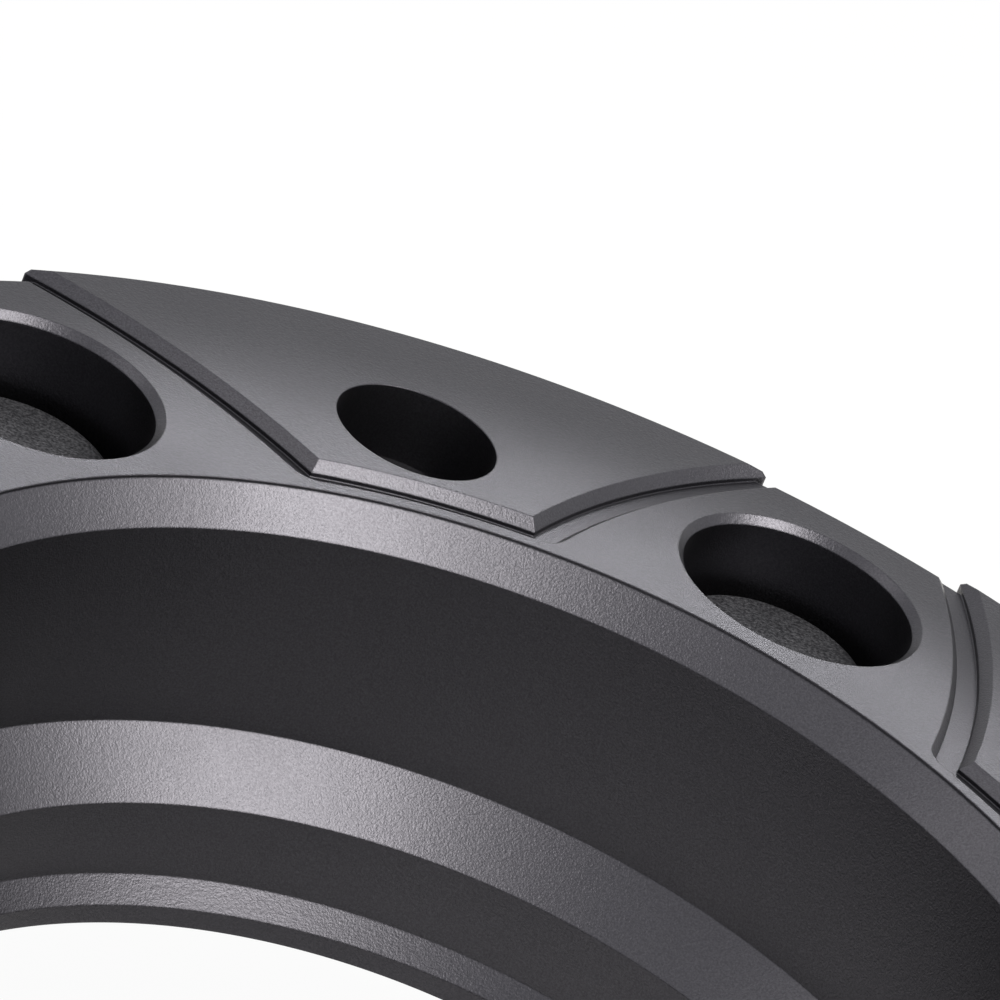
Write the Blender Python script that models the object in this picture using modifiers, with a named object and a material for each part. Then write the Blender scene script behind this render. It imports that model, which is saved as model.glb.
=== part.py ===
"""Wheel spacer with pressed studs and a milled hub face.

Lengths are metres and angles are degrees. The ring stands hub face up on the tips of its
studs, and the origin is on the ring's axis at the level of the tips. Pads with plain bolt
holes and bosses with stud pockets take turns round the bolt circle. The first pad is on +Y.
"""

import math

import bmesh
import bpy
from mathutils import Vector

# Ring
RING_THICKNESS = 0.030
HUB_EDGE_WIDTH = 0.00095
HUB_EDGE_DEPTH = 0.00055
WHEEL_EDGE = 0.001

# Bolt circle: as many plain holes as studs, half a pitch apart
BOLT_COUNT = 6
BOLT_CIRCLE_RADIUS = 0.06985

# Bore and lip, which repeats the size of the vehicle's hub for the wheel
HUB_RADIUS = 0.0530
BORE_CLEARANCE = 0.00003
BORE_DEPTH = 0.0231
LEAD_IN_WIDTH = 0.00307
LEAD_IN_DEPTH = 0.0032
LEAD_IN_STEP = 0.0003
BORE_TAPER_DEPTH = 0.00475
LIP_LENGTH = 0.0093
LIP_WALL = 0.0053
LIP_EDGE = 0.0012
LIP_MOUTH_WALL = 0.0071
LIP_MOUTH_DEPTH = 0.0019
LIP_MOUTH_TAPER = 0.00205

# Milled hub face: a star that carries the stud pockets, and a moat between it and the pads
STAR_LAND = 0.0013
STAR_CORNER_RADIUS = 0.0028
STAR_EDGE = 0.00067
PAD_EDGE = 0.00095
MOAT_WIDTH = 0.0038
MOAT_DEPTH = 0.00135
BOSS_SETBACK = 0.00295
BOSS_WALL = 0.0035
BOSS_FLANK_RADIUS = 0.0732
BOSS_FLANK_LEAN = 68.1

# Plain holes with a seat for a conical nut, sunk from the wheel face
BOLT_HOLE_RADIUS = 0.00742
WEB_THICKNESS = 0.0072
NUT_SEAT_WIDTH = 0.0031
NUT_SEAT_HALF_ANGLE = 30
NUT_SINK_WIDTH = 0.003
NUT_SINK_EDGE = 0.0008
RIM_WALL = 0.00493

# Studs and their pockets
HEAD_RADIUS = 0.0092
HEAD_THICKNESS = 0.00475
HEAD_EDGE = 0.0008
SHANK_RADIUS = 0.0071
SHANK_LENGTH = 0.0135
SHANK_TAPER = 0.0008
THREAD_RADIUS = 0.006
STUD_REACH = 0.036
STUD_POINT_RADIUS = 0.0046
STUD_POINT_LENGTH = 0.0016
POCKET_GAP = 0.00155
POCKET_DEPTH = 0.012
POCKET_EDGE = 0.0007
STUD_HOLE_EDGE = 0.0008
FIT_GAP = 0.0003

# Facets of the round faces
RING_STEPS = 120
HOLE_STEPS = 32
STUD_STEPS = 24
ARC_ERROR = 0.00003

# How far a cutter reaches past the faces that it cuts, and a spared plate past that cutter
OVERCUT = 0.001
SPARE = 2 * OVERCUT

# Heights and sizes that follow from the ones above
NUT_SINK_RADIUS = BOLT_HOLE_RADIUS + NUT_SEAT_WIDTH + NUT_SINK_WIDTH
RING_RADIUS = BOLT_CIRCLE_RADIUS + NUT_SINK_RADIUS + RIM_WALL
WHEEL_FACE = STUD_REACH
HUB_FACE = WHEEL_FACE + RING_THICKNESS
LIP_END = WHEEL_FACE - LIP_LENGTH
MOAT_FLOOR = HUB_FACE - MOAT_DEPTH
BORE_RADIUS = HUB_RADIUS + BORE_CLEARANCE
BORE_MOUTH_RADIUS = BORE_RADIUS + LEAD_IN_WIDTH
STAR_RING_RADIUS = BORE_MOUTH_RADIUS + STAR_LAND
POCKET_RADIUS = HEAD_RADIUS + POCKET_GAP
POCKET_FLOOR = HUB_FACE - POCKET_DEPTH
HEAD_SEAT = POCKET_FLOOR + FIT_GAP
PITCH = 360 / BOLT_COUNT

TITANIUM_GREY = (0.150, 0.148, 0.156, 1)
PHOSPHATED_STEEL = (0.060, 0.060, 0.062, 1)


def polar(radius, angle):
    """The point at this radius, the angle counted clockwise from +Y as seen from above."""
    turn = math.radians(angle)
    return Vector((radius * math.sin(turn), radius * math.cos(turn)))


def angle_of(point):
    return math.degrees(math.atan2(point.x, point.y))


def wrapped(angle):
    return (angle + 180) % 360 - 180


def arc(centre, radius, start, end):
    """Points along an arc, its angles counted as polar() counts them."""
    step = 2 * math.degrees(math.acos(1 - ARC_ERROR / radius))
    steps = max(1, math.ceil(abs(end - start) / step))
    return [centre + polar(radius, start + (end - start) * i / steps) for i in range(steps + 1)]


def crossing(centre_a, radius_a, centre_b, radius_b, side):
    """Where two circles cross, on the left (1) or the right (-1) of the way from a to b."""
    way = centre_b - centre_a
    along = (way.length_squared + radius_a**2 - radius_b**2) / (2 * way.length)
    across = math.sqrt(radius_a**2 - along**2)
    way.normalize()
    return centre_a + way * along + Vector((-way.y, way.x)) * across * side


def collection(name):
    made = bpy.data.collections.new(name)
    bpy.context.scene.collection.children.link(made)
    return made


def material(name, colour, roughness, metallic):
    made = bpy.data.materials.new(name)
    made.use_nodes = True
    shader = made.node_tree.nodes["Principled BSDF"]
    shader.inputs["Base Color"].default_value = colour
    shader.inputs["Roughness"].default_value = roughness
    shader.inputs["Metallic"].default_value = metallic
    return made


def turned(name, profile, steps, home, closed):
    """A turned solid from (radius, height) points that run down its outer side."""
    mesh = bpy.data.meshes.new(name)
    shape = bmesh.new()
    points = [shape.verts.new((radius, 0, height)) for radius, height in profile]
    for upper, lower in zip(points, points[1:]):
        shape.edges.new((upper, lower))
    if closed:
        shape.edges.new((points[-1], points[0]))
    shape.to_mesh(mesh)
    shape.free()
    made = bpy.data.objects.new(name, mesh)
    home.objects.link(made)
    screw = made.modifiers.new("Turn", "SCREW")
    screw.steps = steps
    screw.render_steps = steps
    screw.use_merge_vertices = True
    screw.merge_threshold = 0.00001
    return made


def chamfered_plate(name, outline, bottom, top, edge, home):
    """A flat plate with its upper and lower edges chamfered. The outline is that of its caps."""
    curve = bpy.data.curves.new(name, "CURVE")
    curve.dimensions = "2D"
    curve.fill_mode = "BOTH"
    curve.bevel_depth = edge
    curve.bevel_resolution = 0
    curve.extrude = (top - bottom) / 2 - edge
    spline = curve.splines.new("POLY")
    spline.points.add(len(outline) - 1)
    for point, place in zip(spline.points, outline):
        point.co = (place.x, place.y, 0, 1)
    spline.use_cyclic_u = True
    guide = bpy.data.objects.new(name + "_outline", curve)
    home.objects.link(guide)
    guide.location.z = (bottom + top) / 2
    bpy.context.view_layer.update()
    mesh = bpy.data.meshes.new_from_object(guide.evaluated_get(bpy.context.evaluated_depsgraph_get()))
    shape = bmesh.new()
    shape.from_mesh(mesh)
    bmesh.ops.remove_doubles(shape, verts=shape.verts, dist=0.000001)
    bmesh.ops.recalc_face_normals(shape, faces=shape.faces)
    shape.to_mesh(mesh)
    shape.free()
    made = bpy.data.objects.new(name, mesh)
    home.objects.link(made)
    made.matrix_world = guide.matrix_world
    bpy.data.objects.remove(guide)
    return made


def cut(target, cutter):
    """Takes the cutter's shape out of the target, and leaves the cutter as a guide."""
    boolean = target.modifiers.new("Cut " + cutter.name, "BOOLEAN")
    boolean.operation = "DIFFERENCE"
    boolean.solver = "EXACT"
    boolean.object = cutter
    cutter.hide_render = True
    cutter.display_type = "WIRE"


def finish(piece, surface):
    """Applies the modifiers, then shades the round faces smooth and keeps the edges sharp."""
    bpy.context.view_layer.update()
    shaped = piece.evaluated_get(bpy.context.evaluated_depsgraph_get())
    piece.data = bpy.data.meshes.new_from_object(shaped)
    piece.modifiers.clear()
    piece.data.name = piece.name
    piece.data.shade_smooth()
    piece.data.set_sharp_from_angle(angle=math.radians(25))
    piece.data.materials.clear()
    piece.data.materials.append(surface)


def ring_profile():
    """The ring's section: down the outside, round the lip, and up the stepped bore."""
    lip_bore_radius = HUB_RADIUS - LIP_WALL
    lip_mouth_radius = HUB_RADIUS - LIP_MOUTH_WALL
    lip_mouth_top = LIP_END + LIP_MOUTH_DEPTH
    taper_top = HUB_FACE - BORE_DEPTH
    return [
        (RING_RADIUS - HUB_EDGE_WIDTH, HUB_FACE),
        (RING_RADIUS, HUB_FACE - HUB_EDGE_DEPTH),
        (RING_RADIUS, WHEEL_FACE + WHEEL_EDGE),
        (RING_RADIUS - WHEEL_EDGE, WHEEL_FACE),
        (HUB_RADIUS, WHEEL_FACE),
        (HUB_RADIUS, LIP_END + LIP_EDGE),
        (HUB_RADIUS - LIP_EDGE, LIP_END),
        (lip_mouth_radius, LIP_END),
        (lip_mouth_radius, lip_mouth_top),
        (lip_bore_radius, lip_mouth_top + LIP_MOUTH_TAPER),
        (lip_bore_radius, taper_top - BORE_TAPER_DEPTH),
        (BORE_RADIUS, taper_top),
        (BORE_RADIUS, HUB_FACE - LEAD_IN_DEPTH),
        (BORE_MOUTH_RADIUS, HUB_FACE - LEAD_IN_STEP),
        (BORE_MOUTH_RADIUS, HUB_FACE),
    ]


def flank_centre(boss_angle, side):
    """The centre of a boss flank's arc. The wall to the pocket is thinnest along the lean."""
    pocket = polar(BOLT_CIRCLE_RADIUS, boss_angle)
    to_pocket = BOSS_FLANK_RADIUS - POCKET_RADIUS - BOSS_WALL
    return pocket - polar(to_pocket, boss_angle + side * BOSS_FLANK_LEAN)


def star_flank(boss_angle, side, grow):
    """One flank of a boss, from the fillet at the star's ring to the boss's end."""
    axis = Vector((0, 0))
    ring_radius = STAR_RING_RADIUS + grow
    fillet_radius = STAR_CORNER_RADIUS - grow
    end_radius = RING_RADIUS - BOSS_SETBACK + grow
    centre = flank_centre(boss_angle, side)
    flank_radius = BOSS_FLANK_RADIUS + grow
    fillet = crossing(axis, ring_radius + fillet_radius, centre, flank_radius + fillet_radius, -side)
    end = crossing(axis, end_radius, centre, flank_radius, -side)
    foot = angle_of(fillet - centre)
    tip = foot + wrapped(angle_of(end - centre) - foot)
    flank = arc(centre, flank_radius, foot, tip)
    from_ring = angle_of(-fillet)
    to_flank = from_ring + wrapped(angle_of(centre - fillet) - from_ring)
    return arc(fillet, fillet_radius, from_ring, to_flank)[:-1] + flank


def star_outline(grow):
    """The star seen from above, made larger all round by this much."""
    axis = Vector((0, 0))
    outline = []
    for boss in range(BOLT_COUNT):
        boss_angle = (boss + 0.5) * PITCH
        rising = star_flank(boss_angle, -1, grow)
        falling = star_flank(boss_angle, 1, grow)[::-1]
        end_half = wrapped(angle_of(falling[0]) - boss_angle)
        end_radius = falling[0].length
        outline += rising
        outline += arc(axis, end_radius, boss_angle - end_half, boss_angle + end_half)[1:-1]
        outline += falling
        foot = boss_angle + wrapped(angle_of(falling[-1]) - boss_angle)
        next_foot = 2 * (boss_angle + PITCH / 2) - foot
        outline += arc(axis, falling[-1].length, foot, next_foot)[1:-1]
    return outline


def pad_outline(pad_angle, grow):
    """A pad seen from above. Its flanks run beside those of the bosses and on past the rim."""
    axis = Vector((0, 0))
    inner_radius = STAR_RING_RADIUS + MOAT_WIDTH - grow
    flank_radius = BOSS_FLANK_RADIUS + MOAT_WIDTH - grow
    outer_radius = RING_RADIUS + 2 * SPARE
    sides = []
    for side in (-1, 1):
        centre = flank_centre(pad_angle - side * PITCH / 2, side)
        inner = crossing(axis, inner_radius, centre, flank_radius, -side)
        outer = crossing(axis, outer_radius, centre, flank_radius, -side)
        start = angle_of(inner - centre)
        end = start + wrapped(angle_of(outer - centre) - start)
        sides.append(arc(centre, flank_radius, start, end))
    right, left = sides
    half_inner = wrapped(angle_of(right[0]) - pad_angle)
    half_outer = wrapped(angle_of(right[-1]) - pad_angle)
    outer_arc = arc(axis, outer_radius, pad_angle + half_outer, pad_angle - half_outer)[1:-1]
    inner_arc = arc(axis, inner_radius, pad_angle - half_inner, pad_angle + half_inner)[1:-1]
    return right + outer_arc + left[::-1] + inner_arc


def spared_plate(name, outline, edge, home):
    """A plate that keeps the mill off. Its chamfer runs on up past the hub face to the outline."""
    whole_edge = edge + SPARE
    bottom = MOAT_FLOOR - SPARE - whole_edge
    return chamfered_plate(name, outline, bottom, HUB_FACE + SPARE, whole_edge, home)


def moat_cutter(home):
    """What the mill takes off the hub face: a slab, less the star and the pads that it spares."""
    slab_radius = RING_RADIUS + OVERCUT
    floor_radius = RING_RADIUS - HUB_EDGE_WIDTH
    rim_drop = (slab_radius - floor_radius) * HUB_EDGE_DEPTH / HUB_EDGE_WIDTH
    profile = [
        (0, HUB_FACE + OVERCUT),
        (slab_radius, HUB_FACE + OVERCUT),
        (slab_radius, MOAT_FLOOR - rim_drop),
        (floor_radius, MOAT_FLOOR),
        (0, MOAT_FLOOR),
    ]
    slab = turned("moat_cutter", profile, RING_STEPS, home, False)
    cut(slab, spared_plate("spared_star", star_outline(-SPARE), STAR_EDGE, home))
    for pad in range(BOLT_COUNT):
        outline = pad_outline(pad * PITCH, -SPARE)
        cut(slab, spared_plate(f"spared_pad_{pad + 1}", outline, PAD_EDGE, home))
    return slab


def bolt_hole_cutter(number, home):
    """A plain hole from the hub face, a conical nut seat and the sink that lets the nut in."""
    web_bottom = HUB_FACE - WEB_THICKNESS
    seat_radius = NUT_SINK_RADIUS - NUT_SINK_WIDTH
    seat_bottom = web_bottom - NUT_SEAT_WIDTH / math.tan(math.radians(NUT_SEAT_HALF_ANGLE))
    flare = NUT_SINK_EDGE + OVERCUT
    profile = [
        (0, HUB_FACE + OVERCUT),
        (BOLT_HOLE_RADIUS, HUB_FACE + OVERCUT),
        (BOLT_HOLE_RADIUS, web_bottom),
        (seat_radius, seat_bottom),
        (NUT_SINK_RADIUS, seat_bottom),
        (NUT_SINK_RADIUS, WHEEL_FACE + NUT_SINK_EDGE),
        (NUT_SINK_RADIUS + flare, WHEEL_FACE - OVERCUT),
        (0, WHEEL_FACE - OVERCUT),
    ]
    cutter = turned(f"bolt_hole_cutter_{number}", profile, HOLE_STEPS, home, False)
    cutter.location.xy = polar(BOLT_CIRCLE_RADIUS, (number - 1) * PITCH)
    return cutter


def stud_hole_cutter(number, home):
    """A pocket for the stud's head with a chamfered mouth, and the hole that grips the shank."""
    hole_radius = SHANK_RADIUS + FIT_GAP
    mouth_flare = POCKET_EDGE + OVERCUT
    exit_flare = STUD_HOLE_EDGE + OVERCUT
    profile = [
        (0, HUB_FACE + OVERCUT),
        (POCKET_RADIUS + mouth_flare, HUB_FACE + OVERCUT),
        (POCKET_RADIUS, HUB_FACE - POCKET_EDGE),
        (POCKET_RADIUS, POCKET_FLOOR),
        (hole_radius, POCKET_FLOOR),
        (hole_radius, WHEEL_FACE + STUD_HOLE_EDGE),
        (hole_radius + exit_flare, WHEEL_FACE - OVERCUT),
        (0, WHEEL_FACE - OVERCUT),
    ]
    cutter = turned(f"stud_hole_cutter_{number}", profile, HOLE_STEPS, home, False)
    cutter.location.xy = polar(BOLT_CIRCLE_RADIUS, (number - 0.5) * PITCH)
    return cutter


def spacer_body(parts, cutters):
    body = turned("spacer_body", ring_profile(), RING_STEPS, parts, True)
    cut(body, moat_cutter(cutters))
    for number in range(1, BOLT_COUNT + 1):
        cut(body, bolt_hole_cutter(number, cutters))
        cut(body, stud_hole_cutter(number, cutters))
    finish(body, material("spacer_body", TITANIUM_GREY, 0.42, 0.9))
    return body


def stud_profile():
    """A stud's section: a low round head, the shank that is pressed in, and the thread."""
    head_top = HEAD_SEAT + HEAD_THICKNESS
    shank_end = HEAD_SEAT - SHANK_LENGTH
    return [
        (0, head_top),
        (HEAD_RADIUS - HEAD_EDGE, head_top),
        (HEAD_RADIUS - HEAD_EDGE * (1 - math.sqrt(0.5)), head_top - HEAD_EDGE * (1 - math.sqrt(0.5))),
        (HEAD_RADIUS, head_top - HEAD_EDGE),
        (HEAD_RADIUS, HEAD_SEAT),
        (SHANK_RADIUS, HEAD_SEAT),
        (SHANK_RADIUS, shank_end + SHANK_TAPER),
        (THREAD_RADIUS, shank_end),
        (THREAD_RADIUS, STUD_POINT_LENGTH),
        (STUD_POINT_RADIUS, 0),
        (0, 0),
    ]


def wheel_studs(parts, body):
    """The studs, which share one mesh and are carried by the ring."""
    first = turned("wheel_stud_1", stud_profile(), STUD_STEPS, parts, False)
    finish(first, material("wheel_stud", PHOSPHATED_STEEL, 0.6, 0.75))
    for number in range(1, BOLT_COUNT + 1):
        stud = first
        if number > 1:
            stud = bpy.data.objects.new(f"wheel_stud_{number}", first.data)
            parts.objects.link(stud)
        angle = (number - 0.5) * PITCH
        stud.location.xy = polar(BOLT_CIRCLE_RADIUS, angle)
        stud.rotation_euler.z = -math.radians(angle)
        stud.parent = body


def main():
    for leftover in list(bpy.data.objects):
        bpy.data.objects.remove(leftover)
    parts = collection("wheel_spacer")
    cutters = collection("wheel_spacer_cutters")
    body = spacer_body(parts, cutters)
    wheel_studs(parts, body)


if __name__ == "__main__":
    main()
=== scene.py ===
"""The looks of a wheel spacer: a milled, blasted and anodised ring with pressed wheel studs.

Lengths are metres. The ring stands hub face up on its stud tips, and +Y points to the first
pad. Angles round the ring are degrees, counted clockwise from +Y as seen from above.
"""

import logging
import math
from collections.abc import Callable
from dataclasses import dataclass, field
from enum import Enum
from functools import partial

import bmesh
import bpy
from mathutils import Matrix, Vector

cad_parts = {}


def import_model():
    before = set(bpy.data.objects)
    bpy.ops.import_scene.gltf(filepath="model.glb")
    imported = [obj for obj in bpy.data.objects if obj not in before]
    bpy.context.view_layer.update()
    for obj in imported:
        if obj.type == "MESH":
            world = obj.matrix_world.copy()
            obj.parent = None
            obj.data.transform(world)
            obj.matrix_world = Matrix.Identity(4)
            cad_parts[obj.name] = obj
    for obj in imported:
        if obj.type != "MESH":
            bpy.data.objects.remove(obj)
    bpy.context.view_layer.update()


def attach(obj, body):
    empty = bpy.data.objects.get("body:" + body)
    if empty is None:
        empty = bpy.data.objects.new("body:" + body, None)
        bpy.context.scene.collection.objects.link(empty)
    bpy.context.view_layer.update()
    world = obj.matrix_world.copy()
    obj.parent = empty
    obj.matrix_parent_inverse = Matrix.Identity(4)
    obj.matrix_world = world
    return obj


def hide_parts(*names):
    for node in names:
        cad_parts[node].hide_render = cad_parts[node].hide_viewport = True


log = logging.getLogger("wheel_spacer")

ROOT = "root"
BOLT_COUNT = 6
BOLT_CIRCLE_RADIUS = 0.06985
EDGE_SAMPLES = 6
ORIGIN = Vector((0.0, 0.0))
UP = Vector((0.0, 0.0, 1.0))
WHITE = (1.0, 1.0, 1.0, 1.0)

Outline = list[Vector]
Profile = list[tuple[float, float]]


class Side(Enum):
    """The two flanks of a boss or pad, by the way that the angle round the ring grows."""

    BEFORE = -1
    AFTER = 1


class Slot(Enum):
    """The record's material slots."""

    RING = "spacer_body"
    STUD = "wheel_stud"


def polar(radius: float, angle: float) -> Vector:
    """Give a point of the plan.

    Args:
        radius: Distance from the ring's axis.
        angle: Degrees clockwise from +Y.

    Returns:
        The point as (x, y).
    """
    turn = math.radians(angle)
    return Vector((radius * math.sin(turn), radius * math.cos(turn)))


def angle_of(point: Vector) -> float:
    """Return the angle that polar() would need for this point."""
    return math.degrees(math.atan2(point.x, point.y))


def wrapped(angle: float) -> float:
    """Return the same direction between -180 and 180 degrees."""
    return (angle + 180.0) % 360.0 - 180.0


def arc(centre: Vector, radius: float, start: float, end: float, steps: int) -> Outline:
    """Lay points along an arc.

    Args:
        centre: The arc's centre.
        radius: Its radius.
        start: Its first angle in degrees.
        end: Its last angle in degrees.
        steps: How many chords it gets.

    Returns:
        The points, both ends among them.
    """
    return [centre + polar(radius, start + (end - start) * i / steps) for i in range(steps + 1)]


def crossing(
    first: Vector, first_radius: float, second: Vector, second_radius: float, side: int
) -> Vector:
    """Find where two circles cross.

    Args:
        first: Centre of the first circle.
        first_radius: Its radius.
        second: Centre of the second circle.
        second_radius: Its radius.
        side: 1 for the crossing left of the way from first to second, -1 for the right one.

    Returns:
        The crossing.
    """
    way = second - first
    along = (way.length_squared + first_radius**2 - second_radius**2) / (2 * way.length)
    across = math.sqrt(first_radius**2 - along**2)
    way.normalize()
    return first + way * along + Vector((-way.y, way.x)) * across * side


class Workshop:
    """Makes meshes with bmesh operators and turns them into pieces of the object."""

    MERGE_DISTANCE = 1e-7

    @staticmethod
    def turned(profile: Profile, steps: int, closed: bool) -> bmesh.types.BMesh:
        """Spin a profile round the ring's axis.

        Args:
            profile: Points as (radius, height).
            steps: Faces round the axis.
            closed: Whether the last point joins the first, as on a ring.

        Returns:
            The closed shape, its faces pointing out.
        """
        shape = bmesh.new()
        points = [shape.verts.new((radius, 0.0, height)) for radius, height in profile]
        pairs = list(zip(points, points[1:]))
        if closed:
            pairs.append((points[-1], points[0]))
        edges = [shape.edges.new(pair) for pair in pairs]
        bmesh.ops.spin(
            shape,
            geom=points + edges,
            cent=(0, 0, 0),
            axis=UP,
            angle=math.tau,
            steps=steps,
            use_merge=True,
            use_duplicate=False,
        )
        bmesh.ops.remove_doubles(shape, verts=shape.verts, dist=Workshop.MERGE_DISTANCE)
        bmesh.ops.recalc_face_normals(shape, faces=shape.faces)
        return shape

    @staticmethod
    def lofted(levels: list[tuple[Outline, float]]) -> bmesh.types.BMesh:
        """Bridge outlines of as many points each, from the lowest to the highest.

        Args:
            levels: Each outline with its height.

        Returns:
            The closed shape.
        """
        shape = bmesh.new()
        loops = []
        for outline, height in levels:
            verts = [shape.verts.new((point.x, point.y, height)) for point in outline]
            loops.append([shape.edges.new(pair) for pair in zip(verts, verts[1:] + verts[:1])])
        for lower, upper in zip(loops, loops[1:]):
            bmesh.ops.bridge_loops(shape, edges=lower + upper)
        for end in (loops[0], loops[-1]):
            bmesh.ops.edgeloop_fill(shape, edges=end)
        bmesh.ops.recalc_face_normals(shape, faces=shape.faces)
        return shape

    @staticmethod
    def piece(name: str, shape: bmesh.types.BMesh) -> bpy.types.Object:
        """Make an object of a shape, and free the shape.

        Args:
            name: The object's name.
            shape: Its form, in place.

        Returns:
            The linked object.
        """
        mesh = bpy.data.meshes.new(name)
        shape.to_mesh(mesh)
        shape.free()
        made = bpy.data.objects.new(name, mesh)
        bpy.context.scene.collection.objects.link(made)
        return made

    @staticmethod
    def cut(target: bpy.types.Object, cutter: bpy.types.Object) -> None:
        """Take the cutter's shape out of the target, and remove the cutter."""
        boolean = target.modifiers.new("Cut", "BOOLEAN")
        boolean.operation = "DIFFERENCE"
        boolean.solver = "EXACT"
        boolean.object = cutter
        Workshop.apply(target)
        bpy.data.objects.remove(cutter)

    @staticmethod
    def apply(target: bpy.types.Object) -> None:
        """Replace an object's mesh with what its modifiers make of it."""
        bpy.context.view_layer.update()
        shaped = target.evaluated_get(bpy.context.evaluated_depsgraph_get())
        target.data = bpy.data.meshes.new_from_object(shaped)
        target.modifiers.clear()

    @staticmethod
    def shade(target: bpy.types.Object, sharp: float) -> None:
        """Shade round faces smooth and keep edges above this many degrees sharp."""
        target.data.shade_smooth()
        target.data.set_sharp_from_angle(angle=math.radians(sharp))


class Shader:
    """A short way to build the nodes of one material or group."""

    def __init__(self, tree: bpy.types.NodeTree) -> None:
        """Keep the tree that the nodes go into."""
        self.tree = tree

    def node(self, kind: str, **inputs: object) -> bpy.types.Node:
        """Add a node.

        Args:
            kind: Its type, without the ShaderNode prefix.
            inputs: Socket values or links, by socket name with _ for a space.

        Returns:
            The node.
        """
        made = self.tree.nodes.new("ShaderNode" + kind)
        for name, value in inputs.items():
            self.feed(made.inputs[name.replace("_", " ")], value)
        return made

    def feed(self, socket: bpy.types.NodeSocket, value: object) -> None:
        """Link a socket to an output, or set its value."""
        if isinstance(value, bpy.types.NodeSocket):
            self.tree.links.new(value, socket)
        else:
            socket.default_value = value

    def math(self, operation: str, first: object, second: object = 0.0) -> bpy.types.NodeSocket:
        """Add a Math node and return its output."""
        made = self.tree.nodes.new("ShaderNodeMath")
        made.operation = operation
        self.feed(made.inputs[0], first)
        self.feed(made.inputs[1], second)
        return made.outputs[0]

    def spread(
        self, value: object, low: float, high: float, to_low: float, to_high: float
    ) -> bpy.types.NodeSocket:
        """Map a range onto another, held at its ends, and return the output."""
        made = self.node(
            "MapRange", Value=value, From_Min=low, From_Max=high, To_Min=to_low, To_Max=to_high
        )
        made.clamp = True
        return made.outputs["Result"]

    def noise(
        self, place: object, scale: object, detail: float, roughness: float = 0.5
    ) -> bpy.types.NodeSocket:
        """Add a Noise texture on a coordinate and return its value."""
        made = self.node("TexNoise", Vector=place, Scale=scale, Detail=detail, Roughness=roughness)
        return made.outputs["Fac"]

    def blend(self, share: object, first: object, second: object) -> bpy.types.NodeSocket:
        """Mix two colours and return the output."""
        made = self.tree.nodes.new("ShaderNodeMix")
        made.data_type = "RGBA"
        self.feed(made.inputs["Factor"], share)
        self.feed(made.inputs["A"], first)
        self.feed(made.inputs["B"], second)
        return made.outputs["Result"]


class BlastGrain:
    """The fine pits that bead blasting leaves, shared by every finish of the spacer."""

    NAME = "blast_grain"
    COARSE_SCALE = 0.37
    FINE_SHARE = 0.6
    COARSE_SHARE = 0.4
    PIT_DETAIL = 2.0
    PIT_ROUGHNESS = 0.6
    CLOUD_DETAIL = 3.0
    FLECK_RANGE = (0.35, 0.7)
    CLOUD_RANGE = (0.3, 0.7)

    @classmethod
    def group(cls) -> bpy.types.NodeTree:
        """Return the node group, built the first time it is asked for.

        Returns:
            A group with the inputs Vector, Grain and Blotch and the outputs Height, Fleck
            and Cloud. Grain and Blotch are noise scales per metre.
        """
        if cls.NAME in bpy.data.node_groups:
            return bpy.data.node_groups[cls.NAME]
        tree = bpy.data.node_groups.new(cls.NAME, "ShaderNodeTree")
        tree.interface.new_socket("Vector", in_out="INPUT", socket_type="NodeSocketVector")
        tree.interface.new_socket("Grain", in_out="INPUT", socket_type="NodeSocketFloat")
        tree.interface.new_socket("Blotch", in_out="INPUT", socket_type="NodeSocketFloat")
        for name in ("Height", "Fleck", "Cloud"):
            tree.interface.new_socket(name, in_out="OUTPUT", socket_type="NodeSocketFloat")
        build = Shader(tree)
        given = tree.nodes.new("NodeGroupInput")
        result = tree.nodes.new("NodeGroupOutput")
        place = given.outputs["Vector"]
        grain = given.outputs["Grain"]
        fine = build.noise(place, grain, cls.PIT_DETAIL, cls.PIT_ROUGHNESS)
        coarse_scale = build.math("MULTIPLY", grain, cls.COARSE_SCALE)
        coarse = build.noise(place, coarse_scale, cls.PIT_DETAIL, cls.PIT_ROUGHNESS)
        fine_part = build.math("MULTIPLY", fine, cls.FINE_SHARE)
        coarse_part = build.math("MULTIPLY", coarse, cls.COARSE_SHARE)
        cloud = build.noise(place, given.outputs["Blotch"], cls.CLOUD_DETAIL)
        build.feed(result.inputs["Height"], build.math("ADD", fine_part, coarse_part))
        build.feed(result.inputs["Fleck"], build.spread(fine, *cls.FLECK_RANGE, 0.0, 1.0))
        build.feed(result.inputs["Cloud"], cloud)
        return tree


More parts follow.
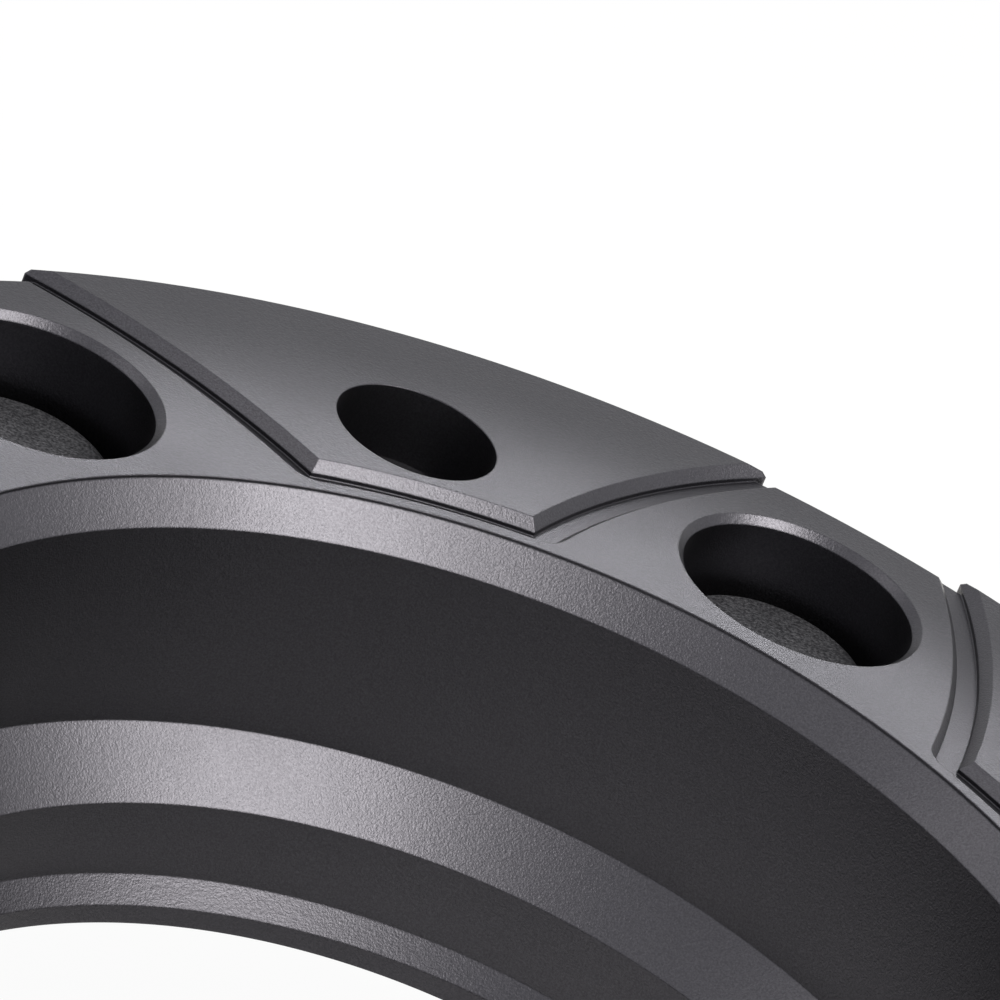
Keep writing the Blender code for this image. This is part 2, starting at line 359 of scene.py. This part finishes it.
@dataclass(frozen=True)
class MetalFinish:
    """A metal with a blasted or forged skin."""

    name: str
    slot: Slot
    colour: tuple[float, float, float]
    fleck_colour: tuple[float, float, float]
    metallic: float
    roughness: tuple[float, float]
    grain: float
    blotch: float
    bump_height: float
    bump_strength: float
    edge_radius: float

    def material(self) -> bpy.types.Material:
        """Build the material on Object coordinates.

        Returns:
            The node material.
        """
        made = bpy.data.materials.new(self.name)
        made.use_nodes = True
        build = Shader(made.node_tree)
        skin = made.node_tree.nodes["Principled BSDF"]
        place = build.node("TexCoord").outputs["Object"]
        grain = made.node_tree.nodes.new("ShaderNodeGroup")
        grain.node_tree = BlastGrain.group()
        build.feed(grain.inputs["Vector"], place)
        grain.inputs["Grain"].default_value = self.grain
        grain.inputs["Blotch"].default_value = self.blotch
        colour = build.blend(grain.outputs["Fleck"], (*self.colour, 1.0), (*self.fleck_colour, 1.0))
        roughness = build.spread(grain.outputs["Cloud"], *BlastGrain.CLOUD_RANGE, *self.roughness)
        worn_edge = build.node("Bevel", Radius=self.edge_radius)
        worn_edge.samples = EDGE_SAMPLES
        bump = build.node(
            "Bump",
            Strength=self.bump_strength,
            Distance=self.bump_height,
            Height=grain.outputs["Height"],
            Normal=worn_edge.outputs["Normal"],
        )
        build.feed(skin.inputs["Base Color"], colour)
        build.feed(skin.inputs["Roughness"], roughness)
        build.feed(skin.inputs["Normal"], bump.outputs["Normal"])
        skin.inputs["Metallic"].default_value = self.metallic
        return made


ANODISED = MetalFinish(
    name="blasted_titanium_grey",
    slot=Slot.RING,
    colour=(0.0510, 0.0498, 0.0570),
    fleck_colour=(0.0700, 0.0684, 0.0780),
    metallic=1.0,
    roughness=(0.34, 0.40),
    grain=5400.0,
    blotch=60.0,
    bump_height=0.00005,
    bump_strength=1.0,
    edge_radius=0.00022,
)

PHOSPHATE = MetalFinish(
    name="phosphated_steel",
    slot=Slot.STUD,
    colour=(0.036, 0.036, 0.041),
    fleck_colour=(0.140, 0.140, 0.152),
    metallic=0.85,
    roughness=(0.44, 0.58),
    grain=3400.0,
    blotch=300.0,
    bump_height=0.0002,
    bump_strength=0.8,
    edge_radius=0.0002,
)


@dataclass
class SpacerRing:
    """The ring: a turned blank with a stepped bore and lip, a milled hub face and two sets of holes."""

    finish: MetalFinish = ANODISED
    bolt_count: int = BOLT_COUNT
    bolt_circle_radius: float = BOLT_CIRCLE_RADIUS
    ring_radius: float = 0.0883
    ring_thickness: float = 0.030
    wheel_face: float = 0.036
    hub_edge_width: float = 0.00095
    hub_edge_depth: float = 0.00055
    wheel_edge: float = 0.001
    hub_radius: float = 0.0530
    bore_clearance: float = 0.00003
    bore_depth: float = 0.0231
    lead_in_width: float = 0.00307
    lead_in_depth: float = 0.0032
    lead_in_step: float = 0.0003
    bore_taper_depth: float = 0.00475
    lip_length: float = 0.0093
    lip_wall: float = 0.0053
    lip_edge: float = 0.0012
    lip_mouth_wall: float = 0.0071
    lip_mouth_depth: float = 0.0019
    lip_mouth_taper: float = 0.00205
    star_land: float = 0.0013
    star_corner_radius: float = 0.0028
    star_edge: float = 0.00067
    pad_edge: float = 0.00095
    moat_width: float = 0.0038
    moat_depth: float = 0.00135
    boss_setback: float = 0.00295
    boss_wall: float = 0.0035
    boss_flank_radius: float = 0.0732
    boss_flank_lean: float = 68.1
    bolt_hole_radius: float = 0.00742
    web_thickness: float = 0.0072
    nut_seat_width: float = 0.0031
    nut_seat_half_angle: float = 30.0
    nut_sink_width: float = 0.003
    nut_sink_edge: float = 0.0008
    pocket_radius: float = 0.01075
    pocket_depth: float = 0.012
    pocket_edge: float = 0.0007
    stud_hole_radius: float = 0.0074
    stud_hole_edge: float = 0.0008
    ring_steps: int = 288
    hole_steps: int = 96
    flank_steps: int = 32
    short_steps: int = 14
    overcut: float = 0.001
    spared_reach: float = 0.002
    pad_overrun: float = 0.004
    smooth_below: float = 20.0

    @property
    def hub_face(self) -> float:
        """Height of the hub face."""
        return self.wheel_face + self.ring_thickness

    @property
    def pitch(self) -> float:
        """Degrees from one pad to the next."""
        return 360.0 / self.bolt_count

    @property
    def star_ring_radius(self) -> float:
        """Outer radius of the narrow land round the bore."""
        return self.hub_radius + self.bore_clearance + self.lead_in_width + self.star_land

    def profile(self) -> Profile:
        """Give the blank's section: down the outside, round the lip and up the stepped bore."""
        top = self.hub_face
        bore = self.hub_radius + self.bore_clearance
        mouth = bore + self.lead_in_width
        lip_end = self.wheel_face - self.lip_length
        lip_mouth_top = lip_end + self.lip_mouth_depth
        taper_top = top - self.bore_depth
        return [
            (self.ring_radius - self.hub_edge_width, top),
            (self.ring_radius, top - self.hub_edge_depth),
            (self.ring_radius, self.wheel_face + self.wheel_edge),
            (self.ring_radius - self.wheel_edge, self.wheel_face),
            (self.hub_radius, self.wheel_face),
            (self.hub_radius, lip_end + self.lip_edge),
            (self.hub_radius - self.lip_edge, lip_end),
            (self.hub_radius - self.lip_mouth_wall, lip_end),
            (self.hub_radius - self.lip_mouth_wall, lip_mouth_top),
            (self.hub_radius - self.lip_wall, lip_mouth_top + self.lip_mouth_taper),
            (self.hub_radius - self.lip_wall, taper_top - self.bore_taper_depth),
            (bore, taper_top),
            (bore, top - self.lead_in_depth),
            (mouth, top - self.lead_in_step),
            (mouth, top),
        ]

    def flank_centre(self, boss_angle: float, side: Side) -> Vector:
        """Find the centre of a boss flank's arc.

        Args:
            boss_angle: Where the boss is.
            side: Which of its flanks.

        Returns:
            The centre. The wall to the pocket is thinnest along the flank's lean.
        """
        pocket = polar(self.bolt_circle_radius, boss_angle)
        to_pocket = self.boss_flank_radius - self.pocket_radius - self.boss_wall
        return pocket - polar(to_pocket, boss_angle + side.value * self.boss_flank_lean)

    def star_flank(self, boss_angle: float, side: Side, grow: float) -> Outline:
        """Trace one flank of a boss.

        Args:
            boss_angle: Where the boss is.
            side: Which of its flanks.
            grow: How much larger than on the face.

        Returns:
            Points from the fillet at the star's ring to the boss's end.
        """
        ring_radius = self.star_ring_radius + grow
        fillet_radius = self.star_corner_radius - grow
        end_radius = self.ring_radius - self.boss_setback + grow
        centre = self.flank_centre(boss_angle, side)
        flank_radius = self.boss_flank_radius + grow
        left = -side.value
        fillet_reach = flank_radius + fillet_radius
        fillet = crossing(ORIGIN, ring_radius + fillet_radius, centre, fillet_reach, left)
        end = crossing(ORIGIN, end_radius, centre, flank_radius, left)
        foot = angle_of(fillet - centre)
        tip = foot + wrapped(angle_of(end - centre) - foot)
        from_ring = angle_of(-fillet)
        to_flank = from_ring + wrapped(angle_of(centre - fillet) - from_ring)
        corner = arc(fillet, fillet_radius, from_ring, to_flank, self.short_steps)
        return corner[:-1] + arc(centre, flank_radius, foot, tip, self.flank_steps)

    def star_outline(self, grow: float) -> Outline:
        """Trace the star: the land round the bore and the bosses.

        Args:
            grow: How much larger than on the face.

        Returns:
            Its outline, seen from above.
        """
        outline: Outline = []
        for boss in range(self.bolt_count):
            boss_angle = (boss + 0.5) * self.pitch
            rising = self.star_flank(boss_angle, Side.BEFORE, grow)
            falling = self.star_flank(boss_angle, Side.AFTER, grow)[::-1]
            half_end = wrapped(angle_of(falling[0]) - boss_angle)
            half_foot = wrapped(angle_of(falling[-1]) - boss_angle)
            tip_start = boss_angle - half_end
            tip_end = boss_angle + half_end
            land_start = boss_angle + half_foot
            land_end = boss_angle + self.pitch - half_foot
            tip = arc(ORIGIN, falling[0].length, tip_start, tip_end, self.short_steps)
            land = arc(ORIGIN, falling[-1].length, land_start, land_end, self.flank_steps)
            outline += rising + tip[1:-1] + falling + land[1:-1]
        return outline

    def pad_outline(self, pad_angle: float, grow: float) -> Outline:
        """Trace a pad, whose flanks run beside those of the bosses and on past the rim.

        Args:
            pad_angle: Where the pad is.
            grow: How much larger than on the face.

        Returns:
            Its outline, seen from above.
        """
        inner_radius = self.star_ring_radius + self.moat_width - grow
        outer_radius = self.ring_radius + self.pad_overrun
        flank_radius = self.boss_flank_radius + self.moat_width - grow
        flanks: dict[Side, Outline] = {}
        for side in Side:
            centre = self.flank_centre(pad_angle - side.value * self.pitch / 2, side)
            inner = crossing(ORIGIN, inner_radius, centre, flank_radius, -side.value)
            outer = crossing(ORIGIN, outer_radius, centre, flank_radius, -side.value)
            start = angle_of(inner - centre)
            end = start + wrapped(angle_of(outer - centre) - start)
            flanks[side] = arc(centre, flank_radius, start, end, self.flank_steps)
        right = flanks[Side.BEFORE]
        left = flanks[Side.AFTER]
        half_inner = wrapped(angle_of(right[0]) - pad_angle)
        half_outer = wrapped(angle_of(right[-1]) - pad_angle)
        rim_start = pad_angle + half_outer
        rim_end = pad_angle - half_outer
        nose_start = pad_angle - half_inner
        nose_end = pad_angle + half_inner
        rim = arc(ORIGIN, outer_radius, rim_start, rim_end, self.short_steps)
        nose = arc(ORIGIN, inner_radius, nose_start, nose_end, self.flank_steps)
        return right + rim[1:-1] + left[::-1] + nose[1:-1]

    def spared(self, outline: Callable[[float], Outline], edge: float) -> bpy.types.Object:
        """Make a shape that keeps the mill off, chamfered round its upper edge.

        Args:
            outline: Gives the outline for how much larger than on the face.
            edge: Width and depth of the chamfer.

        Returns:
            The shape, whose chamfer runs on up past the hub face.
        """
        levels = [
            (outline(edge), self.hub_face - self.moat_depth - self.spared_reach),
            (outline(edge), self.hub_face - edge),
            (outline(-self.spared_reach), self.hub_face + self.spared_reach),
        ]
        return Workshop.piece("spared", Workshop.lofted(levels))

    def moat_cutter(self) -> bpy.types.Object:
        """Make what the mill takes off: a slab, less the star and the pads that it spares."""
        top = self.hub_face + self.overcut
        floor = self.hub_face - self.moat_depth
        radius = self.ring_radius + self.overcut
        floor_radius = self.ring_radius - self.hub_edge_width
        rim_drop = (radius - floor_radius) * self.hub_edge_depth / self.hub_edge_width
        slab_profile = [
            (0.0, top),
            (radius, top),
            (radius, floor - rim_drop),
            (floor_radius, floor),
            (0.0, floor),
        ]
        turned = Workshop.turned(slab_profile, self.ring_steps, closed=False)
        slab = Workshop.piece("moat_cutter", turned)
        Workshop.cut(slab, self.spared(self.star_outline, self.star_edge))
        for pad in range(self.bolt_count):
            outline = partial(self.pad_outline, pad * self.pitch)
            Workshop.cut(slab, self.spared(outline, self.pad_edge))
        return slab

    def bolt_hole_profile(self) -> Profile:
        """Give the section of a plain hole with its conical nut seat and sink."""
        web_bottom = self.hub_face - self.web_thickness
        seat_radius = self.bolt_hole_radius + self.nut_seat_width
        seat_slope = math.tan(math.radians(self.nut_seat_half_angle))
        seat_bottom = web_bottom - self.nut_seat_width / seat_slope
        sink_radius = seat_radius + self.nut_sink_width
        return [
            (0.0, self.hub_face + self.overcut),
            (self.bolt_hole_radius, self.hub_face + self.overcut),
            (self.bolt_hole_radius, web_bottom),
            (seat_radius, seat_bottom),
            (sink_radius, seat_bottom),
            (sink_radius, self.wheel_face + self.nut_sink_edge),
            (sink_radius + self.nut_sink_edge + self.overcut, self.wheel_face - self.overcut),
            (0.0, self.wheel_face - self.overcut),
        ]

    def stud_hole_profile(self) -> Profile:
        """Give the section of a stud's pocket and hole."""
        floor = self.hub_face - self.pocket_depth
        return [
            (0.0, self.hub_face + self.overcut),
            (self.pocket_radius + self.pocket_edge + self.overcut, self.hub_face + self.overcut),
            (self.pocket_radius, self.hub_face - self.pocket_edge),
            (self.pocket_radius, floor),
            (self.stud_hole_radius, floor),
            (self.stud_hole_radius, self.wheel_face + self.stud_hole_edge),
            (self.stud_hole_radius + self.stud_hole_edge + self.overcut, self.wheel_face - self.overcut),
            (0.0, self.wheel_face - self.overcut),
        ]

    def hole_cutter(self, profile: Profile, angle: float) -> bpy.types.Object:
        """Turn a hole's section into a cutter on the bolt circle.

        Args:
            profile: The section.
            angle: Where on the bolt circle.

        Returns:
            The cutter.
        """
        shape = Workshop.turned(profile, self.hole_steps, closed=False)
        place = polar(self.bolt_circle_radius, angle)
        bmesh.ops.translate(shape, verts=shape.verts, vec=(place.x, place.y, 0.0))
        return Workshop.piece("hole_cutter", shape)

    def build(self) -> bpy.types.Object:
        """Make the ring, dress it and put it in place of its solid.

        Returns:
            The finished piece.
        """
        blank = Workshop.turned(self.profile(), self.ring_steps, closed=True)
        ring = Workshop.piece("spacer_ring", blank)
        Workshop.cut(ring, self.moat_cutter())
        for number in range(self.bolt_count):
            pad_angle = number * self.pitch
            boss_angle = (number + 0.5) * self.pitch
            Workshop.cut(ring, self.hole_cutter(self.bolt_hole_profile(), pad_angle))
            Workshop.cut(ring, self.hole_cutter(self.stud_hole_profile(), boss_angle))
        Workshop.shade(ring, self.smooth_below)
        ring.data.materials.clear()
        ring.data.materials.append(self.finish.material())
        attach(ring, ROOT)
        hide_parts("spacer_body")
        return ring


@dataclass
class WheelStud:
    """A pressed stud: a low forged head, a plain shank and a rolled thread.

    The thread's flat is a share of its pitch, and its spare turns are trimmed off.
    """

    number: int
    steel: bpy.types.Material
    bolt_count: int = BOLT_COUNT
    bolt_circle_radius: float = BOLT_CIRCLE_RADIUS
    head_seat: float = 0.0543
    head_radius: float = 0.0092
    head_thickness: float = 0.00475
    head_edge: float = 0.0008
    shank_radius: float = 0.0071
    shank_length: float = 0.0135
    shank_taper: float = 0.0008
    thread_radius: float = 0.006
    thread_pitch: float = 0.0015
    thread_depth: float = 0.00092
    point_radius: float = 0.0046
    point_length: float = 0.0016
    thread_flat: float = 0.125
    spare_turns: int = 2
    turned_steps: int = 96
    thread_steps: int = 48
    rim_steps: int = 6
    tolerance: float = 1e-6
    smooth_below: float = 35.0

    @property
    def angle(self) -> float:
        """Where the stud is on the bolt circle."""
        return (self.number - 0.5) * 360.0 / self.bolt_count

    def head_and_shank(self) -> bmesh.types.BMesh:
        """Turn the head, its rounded rim and the shank."""
        top = self.head_seat + self.head_thickness
        shank_end = self.head_seat - self.shank_length
        rim = []
        for step in range(self.rim_steps + 1):
            turn = math.radians(90.0 * step / self.rim_steps)
            inset = self.head_edge * (1 - math.sin(turn))
            drop = self.head_edge * (1 - math.cos(turn))
            rim.append((self.head_radius - inset, top - drop))
        lower = [
            (self.head_radius, self.head_seat),
            (self.shank_radius, self.head_seat),
            (self.shank_radius, shank_end + self.shank_taper),
            (self.thread_radius - self.thread_depth, shank_end),
            (0.0, shank_end),
        ]
        return Workshop.turned([(0.0, top)] + rim + lower, self.turned_steps, closed=False)

    def thread(self) -> bmesh.types.BMesh:
        """Spin one pitch of thread along a helix, then trim and point it."""
        shank_end = self.head_seat - self.shank_length
        root = self.thread_radius - self.thread_depth
        pitch = self.thread_pitch
        flat = pitch * self.thread_flat
        start = -self.spare_turns * pitch
        turns = math.ceil((shank_end - start) / pitch) + self.spare_turns
        section = [
            (root, 0.0),
            (root, flat),
            (self.thread_radius, pitch / 2),
            (self.thread_radius, pitch / 2 + flat),
            (root, pitch),
        ]
        shape = bmesh.new()
        points = [shape.verts.new((radius, 0.0, start + height)) for radius, height in section]
        edges = [shape.edges.new(pair) for pair in zip(points, points[1:])]
        bmesh.ops.spin(
            shape,
            geom=points + edges,
            cent=(0, 0, 0),
            axis=UP,
            dvec=(0, 0, pitch / self.thread_steps),
            angle=math.tau * turns,
            steps=self.thread_steps * turns,
            use_duplicate=False,
        )
        bmesh.ops.remove_doubles(shape, verts=shape.verts, dist=self.tolerance)
        for height, inner in ((0.0, True), (shank_end + pitch, False)):
            bmesh.ops.bisect_plane(
                shape,
                geom=shape.verts[:] + shape.edges[:] + shape.faces[:],
                plane_co=(0, 0, height),
                plane_no=UP,
                clear_inner=inner,
                clear_outer=not inner,
            )
            ends = [
                edge
                for edge in shape.edges
                if edge.is_boundary
                and all(abs(vert.co.z - height) < self.tolerance for vert in edge.verts)
            ]
            bmesh.ops.edgeloop_fill(shape, edges=ends)
        slope = (self.thread_radius - self.point_radius) / self.point_length
        for vert in shape.verts:
            widest = self.point_radius + slope * vert.co.z
            radius = vert.co.xy.length
            if radius > widest:
                vert.co.xy *= widest / radius
        bmesh.ops.recalc_face_normals(shape, faces=shape.faces)
        return shape

    def build(self) -> bpy.types.Object:
        """Make the stud, dress it and put it in place of its solid.

        Returns:
            The finished piece.
        """
        shape = self.head_and_shank()
        thread_mesh = bpy.data.meshes.new("thread")
        thread = self.thread()
        thread.to_mesh(thread_mesh)
        thread.free()
        shape.from_mesh(thread_mesh)
        bpy.data.meshes.remove(thread_mesh)
        place = polar(self.bolt_circle_radius, self.angle)
        turn = Matrix.Rotation(-math.radians(self.angle), 4, "Z")
        seat = Matrix.Translation((place.x, place.y, 0.0)) @ turn
        bmesh.ops.transform(shape, verts=shape.verts, matrix=seat)
        stud = Workshop.piece(f"pressed_stud_{self.number}", shape)
        Workshop.shade(stud, self.smooth_below)
        stud.data.materials.append(self.steel)
        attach(stud, ROOT)
        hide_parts(f"wheel_stud_{self.number}")
        return stud


@dataclass
class Softbox:
    """A square lamp that points at the ring."""

    name: str
    place: tuple[float, float, float]
    side: float
    watts: float
    colour: tuple[float, float, float] = (1.0, 0.975, 0.91)
    aim: tuple[float, float, float] = (0.0, 0.04, 0.06)

    def build(self) -> None:
        """Hang the lamp."""
        light = bpy.data.lights.new(self.name, "AREA")
        light.shape = "SQUARE"
        light.size = self.side
        light.energy = self.watts
        light.color = self.colour
        lamp = bpy.data.objects.new(self.name, light)
        bpy.context.scene.collection.objects.link(lamp)
        lamp.location = self.place
        way = Vector(self.aim) - Vector(self.place)
        lamp.rotation_euler = way.to_track_quat("-Z", "Y").to_euler()


@dataclass
class SnootedSpot:
    """A spot with a soft-edged beam that draws a circle on the hub face, however low it hangs."""

    name: str
    azimuth: float
    elevation: float = 27.2
    distance: float = 1.0
    circle_radius: float = 0.088
    soft_edge: float = 0.51
    lens_radius: float = 0.003
    watts: float = 1.5
    aim: tuple[float, float, float] = (0.0, 0.0, 0.066)

    def build(self) -> None:
        """Hang the spot."""
        light = bpy.data.lights.new(self.name, "SPOT")
        light.energy = self.watts
        light.spot_size = 2 * math.atan(self.circle_radius / self.distance)
        light.spot_blend = self.soft_edge
        light.shadow_soft_size = self.lens_radius
        lamp = bpy.data.objects.new(self.name, light)
        bpy.context.scene.collection.objects.link(lamp)
        rise = math.radians(self.elevation)
        level = polar(math.cos(rise), self.azimuth)
        way = Vector((level.x, level.y, math.sin(rise)))
        lamp.location = Vector(self.aim) + way * self.distance
        lamp.rotation_euler = (-way).to_track_quat("-Z", "Y").to_euler()
        lamp.scale.y = math.sin(rise)


@dataclass
class Studio:
    """The white studio: floor, world, lamps and camera.

    The floor's glow is how much of it the camera sees as plain white. The world's level is how
    bright the even light is beside that white. The lens and the sensor are millimetres.
    """

    floor_side: float = 6.0
    floor_colour: tuple[float, float, float] = (0.86, 0.86, 0.86)
    floor_roughness: float = 0.9
    floor_sheen: float = 0.1
    floor_glow: float = 0.95
    floor_gap: float = 0.0001
    world_level: float = 0.45
    lamps: list[Softbox] = field(
        default_factory=lambda: [
            Softbox("overhead_softbox", (0.37, -0.41, 0.93), 0.55, 10.0),
            Softbox("right_softbox", (0.4936, -0.1902, 0.8987), 0.35, 4.2),
            Softbox("left_softbox", (-0.6040, 0.2598, 0.8260), 0.35, 1.1),
        ]
    )
    spot_angles: tuple[float, ...] = (4.0, 10.0, 16.0, 22.0, 28.0)
    eye: tuple[float, float, float] = (-0.11565, -0.33667, 0.27929)
    eye_right: tuple[float, float, float] = (0.931537, -0.099239, 0.349843)
    eye_down: tuple[float, float, float] = (0.252469, -0.515902, -0.818600)
    eye_forward: tuple[float, float, float] = (0.261721, 0.850880, -0.455527)
    lens: float = 195.934
    sensor: float = 36.0
    clip_start: float = 0.01
    clip_end: float = 50.0

    def build_floor(self) -> None:
        """Lay the pale floor just under the stud tips."""
        shape = bmesh.new()
        bmesh.ops.create_grid(shape, x_segments=1, y_segments=1, size=self.floor_side / 2)
        bmesh.ops.translate(shape, verts=shape.verts, vec=(0.0, 0.0, -self.floor_gap))
        floor = Workshop.piece("floor", shape)
        made = bpy.data.materials.new("pale_floor")
        made.use_nodes = True
        build = Shader(made.node_tree)
        skin = made.node_tree.nodes["Principled BSDF"]
        skin.inputs["Base Color"].default_value = (*self.floor_colour, 1.0)
        skin.inputs["Roughness"].default_value = self.floor_roughness
        skin.inputs["Specular IOR Level"].default_value = self.floor_sheen
        rays = build.node("LightPath")
        camera_ray = rays.outputs["Is Camera Ray"]
        seen = build.math("MAXIMUM", camera_ray, rays.outputs["Is Transmission Ray"])
        white = build.node("Emission", Color=WHITE, Strength=1.0)
        mixed = made.node_tree.nodes.new("ShaderNodeMixShader")
        build.feed(mixed.inputs[0], build.math("MULTIPLY", seen, self.floor_glow))
        build.feed(mixed.inputs[1], skin.outputs[0])
        build.feed(mixed.inputs[2], white.outputs[0])
        build.feed(made.node_tree.nodes["Material Output"].inputs["Surface"], mixed.outputs[0])
        floor.data.materials.append(made)

    def build_world(self) -> None:
        """Fill the room with even light that the camera and the metal see as white."""
        world = bpy.data.worlds.new("white_room")
        world.use_nodes = True
        bpy.context.scene.world = world
        build = Shader(world.node_tree)
        backdrop = world.node_tree.nodes["Background"]
        rays = build.node("LightPath")
        direct = build.math("MAXIMUM", rays.outputs["Is Camera Ray"], rays.outputs["Is Glossy Ray"])
        seen = build.math("MAXIMUM", direct, rays.outputs["Is Transmission Ray"])
        backdrop.inputs["Color"].default_value = WHITE
        build.feed(backdrop.inputs["Strength"], build.spread(seen, 0.0, 1.0, self.world_level, 1.0))

    def build_camera(self) -> None:
        """Place the camera at the photograph's viewing angle."""
        camera = bpy.data.cameras.new("camera")
        camera.lens = self.lens
        camera.sensor_width = self.sensor
        camera.clip_start = self.clip_start
        camera.clip_end = self.clip_end
        eye = bpy.data.objects.new("camera", camera)
        bpy.context.scene.collection.objects.link(eye)
        axes = Matrix((self.eye_right, -Vector(self.eye_down), -Vector(self.eye_forward)))
        eye.matrix_world = Matrix.Translation(self.eye) @ axes.transposed().to_4x4()
        bpy.context.scene.camera = eye

    def build(self) -> None:
        """Set up the whole studio."""
        self.build_floor()
        self.build_world()
        self.build_camera()
        for lamp in self.lamps:
            lamp.build()
        for number, angle in enumerate(self.spot_angles, 1):
            SnootedSpot(f"low_spot_{number}", angle).build()
        bpy.context.scene.view_settings.view_transform = "Standard"


def main() -> None:
    """Build the ring, the studs and the studio."""
    logging.basicConfig(level=logging.INFO, format="%(name)s: %(message)s")
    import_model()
    Studio().build()
    ring = SpacerRing().build()
    log.info("%s: %d faces", ring.name, len(ring.data.polygons))
    steel = PHOSPHATE.material()
    for number in range(1, BOLT_COUNT + 1):
        stud = WheelStud(number, steel).build()
        log.info("%s: %d faces", stud.name, len(stud.data.polygons))


if __name__ == "__main__":
    main()
